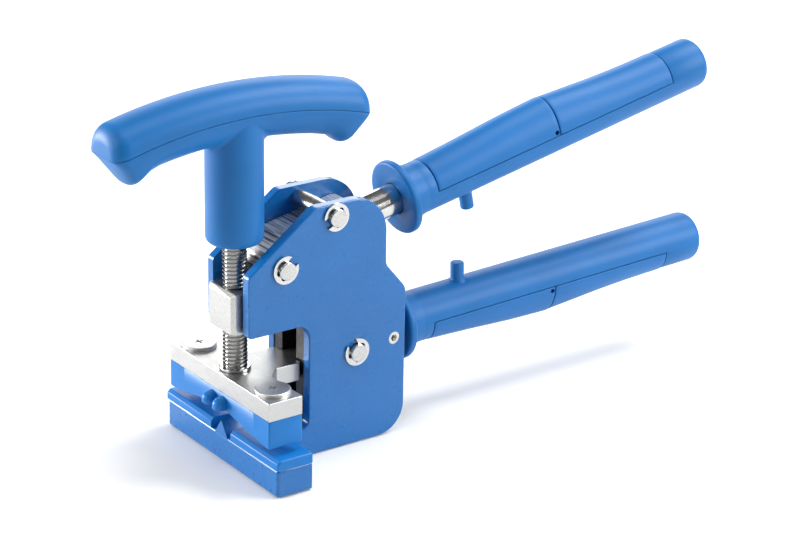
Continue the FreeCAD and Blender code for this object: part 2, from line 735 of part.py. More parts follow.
def t_handle_body():
    lower = arched_bar().common(arch_core()).cut(end_cutter_right())
    right_side = box((0, BAR_HALF_SPAN), (-2 * BAR_HALF_DEPTH, 2 * BAR_HALF_DEPTH), (100, 200))
    right = lower.fuse(hook_right()).common(right_side)
    body = right.fuse(right.mirror(V(0, 0, 0), ALONG_X))
    stem = cylinder_z(STEM_RADIUS, 0, 0, (STEM_BOTTOM, STEM_TOP))
    stem = fillet_where(stem, 3.0, lambda c: c.z < STEM_BOTTOM + 0.01)
    body = body.fuse(stem).removeSplitter()
    body = body.cut(cylinder_z(SCREW_RADIUS + 0.3, 0, 0, (STEM_BOTTOM - 1, STEM_BOTTOM + STEM_LIP)))
    return body.cut(cylinder_z(HUB_RADIUS, 0, 0, (STEM_BOTTOM + STEM_LIP, SCREW_TOP)))


def t_handle_cap():
    cap = arched_bar().cut(arch_core())
    return fillet_where(cap, 6.0, lambda c: abs(c.x) > BAR_HALF_SPAN - 0.01 and c.z > 165)


def build():
    far_pad = lower_pad_far()
    return {
        "lower_jaw_bar": lower_jaw_bar(),
        "lower_pad_near": mirrored_y(far_pad),
        "lower_pad_far": far_pad,
        "lower_pad_screws": lower_pad_screws(),
        "side_plate_near": mirrored_y(side_plate(NEAR_SHOULDER)),
        "side_plate_far": side_plate(FAR_SHOULDER),
        "guide_cheeks": guide_cheeks(),
        "guide_spacer": guide_spacer(),
        "stop_pin": cross_pin(STOP),
        "pivot_pin": cross_pin(PIVOT),
        "lower_root_pin": cross_pin(ROOT),
        "retaining_clips": retaining_clips(),
        "lower_handle_root": lower_handle_root(),
        "lower_lock_screws": lower_lock_screws(),
        "lower_rod": lower_rod(),
        "lower_grip": lower_handle_piece(grip(-1)),
        "lower_palm_front": lower_handle_piece(palm_front(-1)),
        "lower_palm_rear": lower_handle_piece(palm_rear(-1)),
        "upper_lever": upper_lever(),
        "pivot_bush": pivot_bush(),
        "upper_rod": upper_rod(),
        "upper_grip": upper_handle_piece(grip(1)),
        "upper_palm_front": upper_handle_piece(palm_front(1)),
        "upper_palm_rear": upper_handle_piece(palm_rear(1)),
        "press_carriage": press_carriage(),
        "return_spring": return_spring(),
        "jaw_plate": jaw_plate(),
        "upper_pad": upper_pad(),
        "pad_cap_screws": pad_cap_screws(),
        "pad_nuts": pad_nuts(),
        "adjusting_screw": adjusting_screw(),
        "screw_collar": screw_collar(),
        "screw_end_clip": screw_end_clip(),
        "handle_hub": handle_hub(),
        "handle_cross_pin": handle_cross_pin(),
        "t_handle_body": t_handle_body(),
        "t_handle_cap": t_handle_cap(),
    }


os.makedirs("parts", exist_ok=True)
for node, shape in build().items():
    assert shape.isValid(), node
    shape.exportStep("parts/" + node + ".step")
    print(node, len(shape.Solids), round(shape.Volume))
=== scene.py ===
import json
import math

import bmesh
import bpy
import numpy as np
from mathutils import Matrix, Vector


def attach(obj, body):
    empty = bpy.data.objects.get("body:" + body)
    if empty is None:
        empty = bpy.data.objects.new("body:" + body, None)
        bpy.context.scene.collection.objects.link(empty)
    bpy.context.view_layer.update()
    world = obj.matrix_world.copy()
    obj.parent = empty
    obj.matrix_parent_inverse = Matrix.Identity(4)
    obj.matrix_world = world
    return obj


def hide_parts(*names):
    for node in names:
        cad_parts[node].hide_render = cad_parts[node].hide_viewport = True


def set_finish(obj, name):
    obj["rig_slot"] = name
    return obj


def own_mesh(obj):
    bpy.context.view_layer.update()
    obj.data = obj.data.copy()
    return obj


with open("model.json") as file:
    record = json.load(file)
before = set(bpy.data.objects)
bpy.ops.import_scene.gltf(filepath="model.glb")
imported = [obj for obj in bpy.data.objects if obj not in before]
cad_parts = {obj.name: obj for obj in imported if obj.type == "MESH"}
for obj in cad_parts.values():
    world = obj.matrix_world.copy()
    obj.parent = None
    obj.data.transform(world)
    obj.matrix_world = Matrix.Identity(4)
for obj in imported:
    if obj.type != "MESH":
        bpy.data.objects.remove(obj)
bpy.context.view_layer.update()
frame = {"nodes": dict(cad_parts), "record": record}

# Lengths below are millimetres; the meshes are written in metres.
MM = 0.001

PIVOT = (16.5, 100.5)
ROOT = (58.0, 48.9)
UPPER_RISE = 11.6
LOWER_RISE = 2.0
UPPER_GRIP_START = 77.0
LOWER_GRIP_START = 33.0

GRIP_LENGTH = 196.92
GRIP_RADIUS = 13.2
GUARD_RADIUS = 19.0
GUARD_THICKNESS = 4.0
ROD_RADIUS = 8.0
PALM_CORE = 9.5
PALM_HALF_WIDTH = 13.3
PALM_START = 18.3
PALM_MIDDLE = 96.2
PALM_END = 171.5
FRONT_CROWN = ((18.3, 13.3), (45.0, 14.9), (72.0, 16.8), (95.6, 17.75))
REAR_CROWN = ((96.2, 17.45), (112.0, 16.3), (130.0, 14.9), (150.0, 13.9), (171.5, 13.5))
PEG_PLACE = 42.1
PEG_RADIUS = 3.5
PEG_REACH = 22.6

ARCH_RADIUS = 240.0
PARTING_RADIUS = 241.2
BAR_CENTRE_Z = 176.5
SEAM = 0.06
BAR_HALF_DEPTH = 14.75
BAR_HALF_HEIGHT = 13.77
BAR_HALF_SPAN = 70.27
STEM_RADIUS = 14.0
STEM_BOTTOM = 112.5

STEM_STRAIGHT = 120.0
STEM_TOP = 176.2
STEM_BORE_CLEARANCE = 0.35

SCREW_RADIUS = 6.0
SCREW_ROOT = 4.9
SCREW_PITCH = 2.0
THREAD_BOTTOM = 47.5
THREAD_TOP = 116.0

SPRING_X = 60.0
SPRING_SEAT = 57.0
SPRING_TOP = 79.9
SPRING_RADIUS = 4.5
SPRING_WIRE = 1.4

PAD_HALF_LENGTH = 45.0
PAD_FRONT = -9.7
PAD_BACK = 9.1
PAD_TOP = 38.0
PAD_END_BOTTOM = 23.8
PAD_MIDDLE_BOTTOM = 30.3
NOSE_Y = 4.7
NOSE_ROOT_X = -8.5

EASED_EDGES = (
    ("lower_jaw_bar", 0.9),
    ("lower_pad_near", 0.4),
    ("lower_pad_far", 0.4),
    ("jaw_plate", 0.3),
    ("press_carriage", 0.4),
)


# ---------------------------------------------------------------- mesh tools

def add_object(name, vertices, faces, crease=35.0, weld=0.0005):
    """Object from millimetre vertices, with doubled points welded and hard edges kept sharp."""
    mesh = bpy.data.meshes.new(name)
    mesh.from_pydata((np.asarray(vertices, float) * MM).tolist(), [], [tuple(f) for f in faces])
    work = bmesh.new()
    work.from_mesh(mesh)
    bmesh.ops.remove_doubles(work, verts=work.verts, dist=weld * MM)
    bmesh.ops.dissolve_degenerate(work, edges=work.edges, dist=weld * MM)
    bmesh.ops.recalc_face_normals(work, faces=work.faces)
    work.to_mesh(mesh)
    work.free()
    mesh.shade_smooth()
    mesh.set_sharp_from_angle(angle=math.radians(crease))
    obj = bpy.data.objects.new(name, mesh)
    bpy.context.scene.collection.objects.link(obj)
    return obj


def bake_modifiers(obj, crease=35.0):
    bpy.context.view_layer.update()
    graph = bpy.context.evaluated_depsgraph_get()
    made = bpy.data.meshes.new_from_object(obj.evaluated_get(graph))
    obj.modifiers.clear()
    obj.data = made
    obj.data.shade_smooth()
    obj.data.set_sharp_from_angle(angle=math.radians(crease))


def bevel(obj, width, segments=3, angle=40.0, crease=50.0):
    tool = obj.modifiers.new("edges", "BEVEL")
    tool.width = width * MM
    tool.segments = segments
    tool.limit_method = "ANGLE"
    tool.angle_limit = math.radians(angle)
    tool.use_clamp_overlap = True
    bake_modifiers(obj, crease)


def carve(obj, cutter, crease=35.0):
    tool = obj.modifiers.new("carve", "BOOLEAN")
    tool.operation = "DIFFERENCE"
    tool.solver = "EXACT"
    tool.object = cutter
    bake_modifiers(obj, crease)
    bpy.data.objects.remove(cutter)


def ease_edges(node, width):
    """Small rounded edges on a carried-over solid."""
    obj = frame["nodes"][node]
    weld = obj.modifiers.new("weld", "WELD")
    weld.merge_threshold = 0.000002
    tool = obj.modifiers.new("edges", "BEVEL")
    tool.width = width * MM
    tool.segments = 3
    tool.limit_method = "ANGLE"
    tool.angle_limit = math.radians(40)
    tool.harden_normals = True


def skin(rings, closed=True):
    """Quads between successive rings of equal count. Ends are closed with fans."""
    count = len(rings[0])
    vertices = [tuple(p) for ring in rings for p in ring]
    faces = []
    for row in range(len(rings) - 1):
        low = row * count
        high = low + count
        for i in range(count):
            j = (i + 1) % count
            faces.append((low + i, low + j, high + j, high + i))
    if closed:
        for row in (0, len(rings) - 1):
            centre = len(vertices)
            vertices.append(tuple(np.mean(np.asarray(rings[row], float), axis=0)))
            low = row * count
            faces += [(low + i, low + (i + 1) % count, centre) for i in range(count)]
    return vertices, faces


def join(*parts):
    vertices = []
    faces = []
    for more_vertices, more_faces in parts:
        shift = len(vertices)
        vertices += [tuple(p) for p in more_vertices]
        faces += [tuple(i + shift for i in face) for face in more_faces]
    return vertices, faces


def soften(corners, steps=6):
    """Open polyline through (a, b, corner radius) with an arc at every rounded corner."""
    points = []
    for index, (a, b, radius) in enumerate(corners):
        here = np.array((a, b), float)
        if radius == 0 or index in (0, len(corners) - 1):
            points.append(here)
            continue
        before = np.array(corners[index - 1][:2], float) - here
        after = np.array(corners[index + 1][:2], float) - here
        before /= np.linalg.norm(before)
        after /= np.linalg.norm(after)
        half = math.acos(max(-1.0, min(1.0, float(before @ after)))) / 2
        reach = radius / math.tan(half)
        middle = (before + after) / np.linalg.norm(before + after)
        centre = here + middle * radius / math.sin(half)
        first = here + before * reach - centre
        last = here + after * reach - centre
        turn = math.pi - 2 * half
        for k in range(steps + 1):
            t = k / steps
            arm = (first * math.sin((1 - t) * turn) + last * math.sin(t * turn)) / math.sin(turn)
            points.append(centre + arm)
    return points


def lathe(profile, segments=72, axis="x"):
    """Turned solid from (place along the axis, radius) points."""
    rings = []
    for place, radius in profile:
        ring = []
        for k in range(segments):
            turn = 2 * math.pi * k / segments
            a = radius * math.cos(turn)
            b = radius * math.sin(turn)
            ring.append({"x": (place, a, b), "y": (a, place, b), "z": (a, b, place)}[axis])
        rings.append(ring)
    return skin(rings)


def moved(part, matrix):
    vertices, faces = part
    points = np.asarray(vertices, float)
    turned = points @ np.asarray(matrix, float)[:3, :3].T + np.asarray(matrix, float)[:3, 3]
    return [tuple(p) for p in turned], faces


def place_on_lever(pin, rise, start, flip):
    """Matrix for a handle drawn along +X with its palm side up; flip turns the palm side down."""
    angle = math.radians(rise)
    along = np.array((math.cos(angle), 0, math.sin(angle)))
    up = np.array((-math.sin(angle), 0, math.cos(angle)))
    matrix = np.eye(4)
    matrix[:3, 0] = along
    matrix[:3, 1] = (0, 1, 0)
    matrix[:3, 2] = -up if flip else up
    matrix[:3, 3] = np.array((pin[0], 0, pin[1])) + along * start
    return matrix


def ease(x, knots):
    """Smooth curve through the knots."""
    xs = np.array([k[0] for k in knots], float)
    ys = np.array([k[1] for k in knots], float)
    slopes = np.gradient(ys, xs)
    i = int(np.clip(np.searchsorted(xs, x) - 1, 0, len(xs) - 2))
    width = xs[i + 1] - xs[i]
    t = (x - xs[i]) / width
    return float(
        (2 * t ** 3 - 3 * t ** 2 + 1) * ys[i]
        + (t ** 3 - 2 * t ** 2 + t) * width * slopes[i]
        + (-2 * t ** 3 + 3 * t ** 2) * ys[i + 1]
        + (t ** 3 - t ** 2) * width * slopes[i + 1]
    )


def corner_inset(distance, radius):
    """How far a rounded edge has drawn in at this distance from the end face."""
    if distance >= radius:
        return 0.0
    return radius - math.sqrt(max(0.0, radius ** 2 - (radius - distance) ** 2))


# ------------------------------------------------------------------- grips

def grip_core():
    """Guard, flare and handle, with the palm shells' seat on the upper half and the peg below."""
    outline = soften([
        (6.0, ROD_RADIUS + 0.1, 0),
        (0.35, ROD_RADIUS + 0.1, 0),
        (0, ROD_RADIUS + 0.45, 0),
        (0, GUARD_RADIUS, 1.5),
        (GUARD_THICKNESS, GUARD_RADIUS, 1.3),
        (GUARD_THICKNESS + 0.9, GRIP_RADIUS + 1.0, 2.2),
        (GUARD_THICKNESS + 9, GRIP_RADIUS, 6.0),
        (GRIP_LENGTH, GRIP_RADIUS, 4.2),
        (GRIP_LENGTH, 5.0, 0),
    ], steps=8)
    stations = [(place, radius, radius) for place, radius in outline]
    last_flare = max(i for i, s in enumerate(stations) if s[0] < PALM_START)
    middle = [(PALM_START, GRIP_RADIUS, GRIP_RADIUS)]
    seat_places = np.linspace(PALM_START, PALM_END, 60)
    middle += [(place, GRIP_RADIUS, PALM_CORE) for place in seat_places]
    middle.append((PALM_END, GRIP_RADIUS, GRIP_RADIUS))
    stations = stations[:last_flare + 1] + middle + stations[last_flare + 1:]
    half = 40
    gap = math.radians(1.3)
    rings = []
    for place, lower, upper in stations:
        ring = []
        for k in range(half + 1):
            turn = math.pi + math.pi * k / half
            ring.append((place, lower * math.cos(turn), lower * math.sin(turn)))
        for k in range(half + 1):
            turn = gap + (math.pi - 2 * gap) * k / half
            ring.append((place, upper * math.cos(turn), upper * math.sin(turn)))
        rings.append(ring)
    peg = soften([
        (-10.5, 5.0, 0),
        (-12.4, 5.0, 0),
        (-GRIP_RADIUS - 0.9, PEG_RADIUS, 1.2),
        (-PEG_REACH, PEG_RADIUS, 0.9),
        (-PEG_REACH, 0.4, 0),
    ], steps=6)
    shift = np.eye(4)
    shift[0, 3] = PEG_PLACE
    return skin(rings), moved(lathe(peg, 40, "z"), shift)


def palm_shell(start, end, crown):
    """Raised half shell over the handle's core, with softened borders and a hollow inside."""
    edge = 0.45
    rest = 0.4
    fine = [0.0, 0.06, 0.18, edge]
    places = [start + f for f in fine]
    places += list(np.linspace(start + 2, end - 2, 34))
    places += [end - f for f in reversed(fine)]
    arcs = 44
    outer = []
    inner = []
    for place in places:
        inset = corner_inset(min(place - start, end - place), edge)
        height = ease(place, crown) - inset
        width = PALM_HALF_WIDTH - inset
        profile = []
        for lift in fine[:-1]:
            profile.append((width - corner_inset(lift, edge), rest + lift))
        first = math.asin((rest + edge) / height)
        for t in np.linspace(first, math.pi / 2, arcs):
            profile.append((width * math.cos(t), height * math.sin(t)))
        section = profile + [(-y, z) for y, z in reversed(profile[:-1])]
        outer.append([(place, y, z) for y, z in section])
        ring = []
        for t in np.linspace(0, math.pi, len(section)):
            ring.append((place, PALM_CORE * math.cos(t), max(rest, PALM_CORE * math.sin(t))))
        inner.append(ring)
    rings = [a + list(reversed(b)) for a, b in zip(outer, inner)]
    vertices, faces = skin(rings, closed=False)
    count = len(rings[0])
    half = count // 2
    for row in (0, len(rings) - 1):
        low = row * count
        for i in range(half - 1):
            faces.append((low + i, low + i + 1, low + count - 2 - i, low + count - 1 - i))
    return vertices, faces


def hole_cutter(matrix, name):
    """Small blind hole through the shell on both sides."""
    pin = lathe([(-20, 1.25), (-10.2, 1.25)], 40, "y")
    other = lathe([(10.2, 1.25), (20, 1.25)], 40, "y")
    shift = np.eye(4)
    shift[:3, 3] = (PALM_MIDDLE - 2.3, 0, 2.3)
    return add_object(name, *moved(moved(join(pin, other), shift), matrix))


def build_grip(prefix, body, pin, rise, start, flip):
    matrix = place_on_lever(pin, rise, start, flip)
    core, peg = grip_core()
    core_object = add_object(prefix + "_grip_moulding", *moved(core, matrix))
    bevel(core_object, 0.3, segments=2, angle=50)
    peg_object = add_object(prefix + "_grip_peg", *moved(peg, matrix))
    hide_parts(prefix + "_grip")
    front = palm_shell(PALM_START + 0.45, PALM_MIDDLE - 0.6, FRONT_CROWN)
    front_object = add_object(prefix + "_palm_front_shell", *moved(front, matrix), crease=50)
    carve(front_object, hole_cutter(matrix, prefix + "_hole"), crease=50)
    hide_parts(prefix + "_palm_front")
    rear = palm_shell(PALM_MIDDLE, PALM_END - 0.45, REAR_CROWN)
    rear_object = add_object(prefix + "_palm_rear_shell", *moved(rear, matrix), crease=50)
    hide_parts(prefix + "_palm_rear")
    for obj, slot in (
        (core_object, "handle_plastic"),
        (peg_object, "handle_plastic"),
        (front_object, "palm_plastic"),
        (rear_object, "palm_plastic"),
    ):
        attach(obj, body)
        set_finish(obj, slot)
    return [core_object, peg_object, front_object, rear_object]


# ---------------------------------------------------------------- T-handle

def arch_z(radius, x):
    return BAR_CENTRE_Z - ARCH_RADIUS + math.sqrt(radius ** 2 - x ** 2)


def parting_z(x):
    return arch_z(PARTING_RADIUS, x)


def end_z():
    return parting_z(BAR_HALF_SPAN)


def underside_outline():
    inner = ARCH_RADIUS - BAR_HALF_HEIGHT
    points = [(x, arch_z(inner, x), 0) for x in np.linspace(0, 42, 22)]
    points += [
        (50.0, arch_z(inner, 50.0), 6),
        (56.0, 152.5, 3.5),
        (59.5, 152.4, 4.0),
        (BAR_HALF_SPAN, end_z(), 0),
    ]
    return np.array(soften(points, steps=8))


UNDERSIDE = underside_outline()


def underside_z(x):
    return float(np.interp(abs(x), UNDERSIDE[:, 0], UNDERSIDE[:, 1]))


def depth_at(x):
    """Half depth of the bar, with rounded corners in plan at both ends."""
    return BAR_HALF_DEPTH - corner_inset(BAR_HALF_SPAN - abs(x), 7.5)


def half_section(width, height, power, arcs=26):
    """(across, up) points of one side, from the parting to the crown, with a softened parting edge."""
    edge = min(0.4, height * 0.3)
    points = []
    for lift in (0.0, 0.15 * edge, 0.4 * edge):
        points.append((width - corner_inset(lift, edge), lift))
    first = math.asin(min(1.0, (edge / height)) ** (power / 2))
    for t in np.linspace(first, math.pi / 2, arcs):
        points.append((width * math.cos(t) ** (2 / power), height * math.sin(t) ** (2 / power)))
    points[-1] = (0.0, height)
    return points


def bar_stations():
    near_end = [BAR_HALF_SPAN - d for d in (0, 0.06, 0.25, 0.55, 1.0, 1.6, 2.3, 3.2, 4.2, 5.2, 6.3, 7.5)]
    side = sorted(set([round(x, 3) for x in np.arange(0, 62.6, 1.25)] + near_end))
    return [-x for x in reversed(side[1:])] + side


def bar_half(upwards):
    rings = []
    for x in bar_stations():
        base = parting_z(x) + (SEAM if upwards else -SEAM)
        width = depth_at(x)
        if upwards:
            drop = corner_inset(BAR_HALF_SPAN - abs(x), 6.5)
            height = arch_z(ARCH_RADIUS + BAR_HALF_HEIGHT, x) - drop - base
            power = 2.25
            sign = 1
        else:
            height = max(0.02, base - underside_z(x))
            hook = min(1.0, max(0.0, (abs(x) - 42) / 12))
            power = 1.8 + 0.5 * hook * hook * (3 - 2 * hook)
            sign = -1
        side = half_section(width, height, power)
        section = side + [(-y, z) for y, z in reversed(side[:-1])]
        across = np.linspace(-side[0][0], side[0][0], 12)[1:-1]
        rings.append([(x, y, base + sign * z) for y, z in section] + [(x, y, base) for y in across])
    return skin(rings)


def surface_under(radius, turn):
    """Height of the bar's lower surface straight above a point beside the stem."""
    x = radius * math.cos(turn)
    y = abs(radius * math.sin(turn))
    base = parting_z(x) - SEAM
    height = base - underside_z(x)
    share = min(1.0, y / depth_at(x))
    return base - height * max(0.0, 1 - share ** 1.8) ** (1 / 1.8)


def stem():
    """Stem that grows out of the bar's lower half with a rounded fillet all the way round."""
    segments = 120
    fillet = 3.6
    steps = 8
    lower = soften([
        (10.0, 119.0, 0),
        (SCREW_RADIUS + STEM_BORE_CLEARANCE, 117.0, 0),
        (SCREW_RADIUS + STEM_BORE_CLEARANCE, STEM_BOTTOM, 0.5),
        (STEM_RADIUS, STEM_BOTTOM, fillet),
        (STEM_RADIUS, STEM_STRAIGHT, 0),
    ], steps=8)
    columns = []
    for k in range(segments):
        turn = 2 * math.pi * k / segments
        meet = surface_under(STEM_RADIUS, turn)
        slope = (surface_under(STEM_RADIUS + 0.25, turn) - meet) / 0.25
        opening = math.pi / 2 + math.atan(slope)
        reach = fillet / math.tan(opening / 2)
        column = [tuple(p) for p in lower]
        start = meet - reach
        column += [(STEM_RADIUS, z) for z in np.linspace(STEM_STRAIGHT, start, 14)[1:-1]]
        end_radius = STEM_RADIUS + reach * math.cos(math.atan(slope))
        arc = []
        for n in range(steps + 1):
            angle = math.pi - (math.pi - opening) * n / steps
            arc.append((STEM_RADIUS + fillet + fillet * math.cos(angle), start + fillet * math.sin(angle)))
        miss = surface_under(end_radius, turn) + SEAM - arc[-1][1]
        for n, (radius, z) in enumerate(arc):
            column.append((radius, z + miss * (n / steps) ** 2))
        column.append((STEM_RADIUS - 0.6, min(column[-1][1] + 0.8, STEM_TOP)))
        column.append((STEM_RADIUS - 3, STEM_TOP))
        columns.append([(r * math.cos(turn), r * math.sin(turn), z) for r, z in column])
    rings = [list(ring) for ring in zip(*columns)]
    return skin(rings)


# ------------------------------------------------------- screw and spring

def threaded_rod(low, high):
    """Right-hand thread cut square at both ends."""
    crest = SCREW_RADIUS
    root = SCREW_ROOT
    profile = [
        (0.00, root),
        (0.22, root),
        (0.32, root + 0.12),
        (0.78, crest - 0.14),
        (0.90, crest),
        (1.18, crest),
        (1.30, crest - 0.14),
        (1.76, root + 0.12),
        (1.88, root),
    ]
    per_turn = 72
    turns = int(math.ceil((high - low) / SCREW_PITCH)) + 3
    total = per_turn * turns
    count = len(profile)
    vertices = []
    for i in range(total + per_turn + 1):
        angle = 2 * math.pi * i / per_turn
        rise = low - 1.5 * SCREW_PITCH + SCREW_PITCH * i / per_turn
        for place, radius in profile:
            vertices.append((radius * math.cos(angle), radius * math.sin(angle), rise + place))
    faces = []
    for i in range(total):
        for k in range(count):
            a = i * count + k
            b = (i + 1) * count + k
            if k + 1 < count:
                faces.append((a, b, b + 1, a + 1))
            else:
                faces.append((a, b, (i + 1 + per_turn) * count, (i + per_turn) * count))
    mesh = bpy.data.meshes.new("thread")
    mesh.from_pydata((np.asarray(vertices) * MM).tolist(), [], faces)
    work = bmesh.new()
    work.from_mesh(mesh)
    for z, normal in ((low, (0, 0, -1)), (high, (0, 0, 1))):
        everything = work.verts[:] + work.edges[:] + work.faces[:]
        cut = bmesh.ops.bisect_plane(
            work, geom=everything, plane_co=(0, 0, z * MM), plane_no=normal, clear_outer=True, dist=1e-7
        )
        rim = [e for e in cut["geom_cut"] if isinstance(e, bmesh.types.BMEdge)]
        bmesh.ops.edgeloop_fill(work, edges=rim)
    bmesh.ops.delete(work, geom=[v for v in work.verts if not v.link_faces], context="VERTS")
    bmesh.ops.recalc_face_normals(work, faces=work.faces)
    work.to_mesh(mesh)
    work.free()
    mesh.shade_smooth()
    mesh.set_sharp_from_angle(angle=math.radians(40))
    obj = bpy.data.objects.new("screw_thread", mesh)
    bpy.context.scene.collection.objects.link(obj)
    return obj


def screw_ends():
    journal = lathe(soften([
        (35.0, 0.4, 0),
        (35.0, 4.5, 0.7),
        (36.7, 4.5, 0),
        (36.7, 3.4, 0),
        (38.0, 3.4, 0),
        (38.0, 4.5, 0),
        (47.6, 4.5, 0),
        (47.6, 0.4, 0),
    ], steps=5), 64, "z")
    upper = lathe([(115.8, 0.4), (115.8, 6.0), (152.0, 6.0), (152.0, 0.4)], 64, "z")
    return join(journal, upper)


def coil_spring(low, high, radius, wire, x):
    """Compression spring with closed ends."""
    thick = wire / 2
    closed = 1.0
    active = 6.5
    turns = active + 2 * closed
    per_turn = 48
    around = 14
    count = int(turns * per_turn)
    rings = []
    span = high - low - wire - 2 * closed * wire * 0.9
    for i in range(count + 1):
        t = turns * i / count
        if t < closed:
            rise = t * wire * 0.9
        elif t > turns - closed:
            rise = closed * wire * 0.9 + span + (t - turns + closed) * wire * 0.9
        else:
            u = (t - closed) / active
            rise = closed * wire * 0.9 + span * u
        angle = 2 * math.pi * t
        outward = np.array((math.cos(angle), math.sin(angle), 0))
        centre = np.array((x, 0, low + thick + rise)) + outward * (radius - thick)
        ring = []
        for k in range(around):
            a = 2 * math.pi * k / around
            ring.append(centre + thick * (outward * math.cos(a) + np.array((0, 0, math.sin(a)))))
        rings.append(ring)
    return skin(rings)


# --------------------------------------------------------------- upper pad

def pad_bottom_outline():
    return np.array(soften([
        (-PAD_HALF_LENGTH, PAD_END_BOTTOM, 0),
        (5.0 - PAD_HALF_LENGTH, PAD_END_BOTTOM, 3.0),
        (0.0, PAD_MIDDLE_BOTTOM, 10.0),
        (PAD_HALF_LENGTH - 5.0, PAD_END_BOTTOM, 3.0),
        (PAD_HALF_LENGTH, PAD_END_BOTTOM, 0),
    ], steps=8))


def quarter_arc(x, z, radius, first):
    """Seven points over a quarter turn that starts at this angle in degrees."""
    turns = [math.radians(first + 90 * k / 6) for k in range(7)]
    return [(x + radius * math.cos(a), z + radius * math.sin(a)) for a in turns]


def pad_body():
    outline = pad_bottom_outline()
    edge = 0.9
    top_edge = 0.25
    near_end = [PAD_HALF_LENGTH - d for d in (0, 0.08, 0.25, 0.5, 0.9)]
    side = sorted(set([round(y, 3) for y in np.arange(0, 44.2, 1.0)] + near_end))
    places = [-y for y in reversed(side[1:])] + side
    rings = []
    for place in places:
        inset = corner_inset(PAD_HALF_LENGTH - abs(place), edge)
        front = PAD_FRONT + inset
        back = PAD_BACK - inset
        low = float(np.interp(place, outline[:, 0], outline[:, 1])) + inset
        section = quarter_arc(back - edge, low + edge, edge, -90)
        section += [(back, PAD_TOP - top_edge), (back - top_edge, PAD_TOP)]
        section += [(x, PAD_TOP) for x in np.linspace(back - 1, front + 1, 8)]
        section += [(front + top_edge, PAD_TOP), (front, PAD_TOP - top_edge)]
        section += quarter_arc(front + edge, low + edge, edge, 180)
        rings.append([(x, place, z) for x, z in section])
    return skin(rings)


def pad_nose(y):
    """Round nose standing in front of the pad, with a sloping crown that runs back into the face."""
    levels = [
        (30.2, 2.2, -12.0),
        (30.25, 2.6, -12.0),
        (30.5, 3.1, -12.0),
        (30.9, 3.4, -12.0),
        (31.5, 3.55, -12.0),
        (33.4, 3.5, -12.0),
        (34.2, 3.3, -11.9),
        (34.9, 2.95, -11.65),
        (35.5, 2.5, -11.3),
        (36.0, 1.95, -10.9),
        (36.35, 1.3, -10.45),
        (36.5, 0.7, -10.1),
    ]
    rings = []
    for z, radius, centre in levels:
        ring = [(NOSE_ROOT_X, y + radius * s, z) for s in (0.5, 1.0)]
        for k in range(25):
            a = math.pi / 2 + math.pi * k / 24
            ring.append((centre + radius * math.cos(a), y + radius * math.sin(a), z))
        ring += [(NOSE_ROOT_X, y + radius * s, z) for s in (-1.0, -0.5)]
        rings.append(ring)
    return skin(rings)


# --------------------------------------------------------------- materials

def tree(name):
    material = bpy.data.materials.new(name)
    material.use_nodes = True
    nodes = material.node_tree.nodes
    return material, nodes, material.node_tree.links, nodes["Principled BSDF"]


def noise(nodes, links, scale, stretch=(1, 1, 1), detail=4.0, roughness=0.5, distortion=0.0):
    place = nodes.new("ShaderNodeTexCoord")
    mapping = nodes.new("ShaderNodeMapping")
    mapping.inputs["Scale"].default_value = stretch
    links.new(place.outputs["Object"], mapping.inputs["Vector"])
    texture = nodes.new("ShaderNodeTexNoise")
    texture.inputs["Scale"].default_value = scale
    texture.inputs["Detail"].default_value = detail
    texture.inputs["Roughness"].default_value = roughness
    texture.inputs["Distortion"].default_value = distortion
    links.new(mapping.outputs["Vector"], texture.inputs["Vector"])
    return texture.outputs["Fac"]


def remap(nodes, links, value, low, high, from_low=0.3, from_high=0.7):
    node = nodes.new("ShaderNodeMapRange")
    node.inputs["From Min"].default_value = from_low
    node.inputs["From Max"].default_value = from_high
    node.inputs["To Min"].default_value = low
    node.inputs["To Max"].default_value = high
    links.new(value, node.inputs["Value"])
    return node.outputs["Result"]


def tint(nodes, links, value, first, second, low=0.35, high=0.65):
    ramp = nodes.new("ShaderNodeValToRGB")
    ramp.color_ramp.elements[0].position = low
    ramp.color_ramp.elements[0].color = (*first, 1)
    ramp.color_ramp.elements[1].position = high
    ramp.color_ramp.elements[1].color = (*second, 1)
    links.new(value, ramp.inputs["Fac"])
    return ramp.outputs["Color"]


def bump(nodes, links, value, strength, distance, normal=None):
    node = nodes.new("ShaderNodeBump")
    node.inputs["Strength"].default_value = strength
    node.inputs["Distance"].default_value = distance
    links.new(value, node.inputs["Height"])
    if normal is not None:
        links.new(normal, node.inputs["Normal"])
    return node.outputs["Normal"]


def plastic(name, colour, rough, grain_scale, grain_strength, specular=0.32):
    material, nodes, links, shader = tree(name)
    cloud = noise(nodes, links, 28.0, detail=3.0)
    grain = noise(nodes, links, grain_scale, detail=3.0, roughness=0.6)
    dark = tuple(0.95 * c for c in colour)
    light = tuple(1.05 * c for c in colour)
    links.new(tint(nodes, links, cloud, dark, light), shader.inputs["Base Color"])
    links.new(remap(nodes, links, grain, rough[0], rough[1]), shader.inputs["Roughness"])
    links.new(bump(nodes, links, grain, grain_strength, 0.0001), shader.inputs["Normal"])
    shader.inputs["IOR"].default_value = 1.48
    shader.inputs["Specular IOR Level"].default_value = specular
    return material


def paint(name, colour):
    material, nodes, links, shader = tree(name)
    cloud = noise(nodes, links, 22.0, detail=2.0)
    peel = noise(nodes, links, 260.0, detail=0.0)
    dark = tuple(0.96 * c for c in colour)
    light = tuple(1.04 * c for c in colour)
    links.new(tint(nodes, links, cloud, dark, light), shader.inputs["Base Color"])
    links.new(remap(nodes, links, peel, 0.24, 0.34, 0.0, 1.0), shader.inputs["Roughness"])
    links.new(bump(nodes, links, peel, 0.006, 0.00005), shader.inputs["Normal"])
    shader.inputs["IOR"].default_value = 1.5
    shader.inputs["Specular IOR Level"].default_value = 0.3
    shader.inputs["Coat Weight"].default_value = 0.4
    shader.inputs["Coat Roughness"].default_value = 0.12
    return material


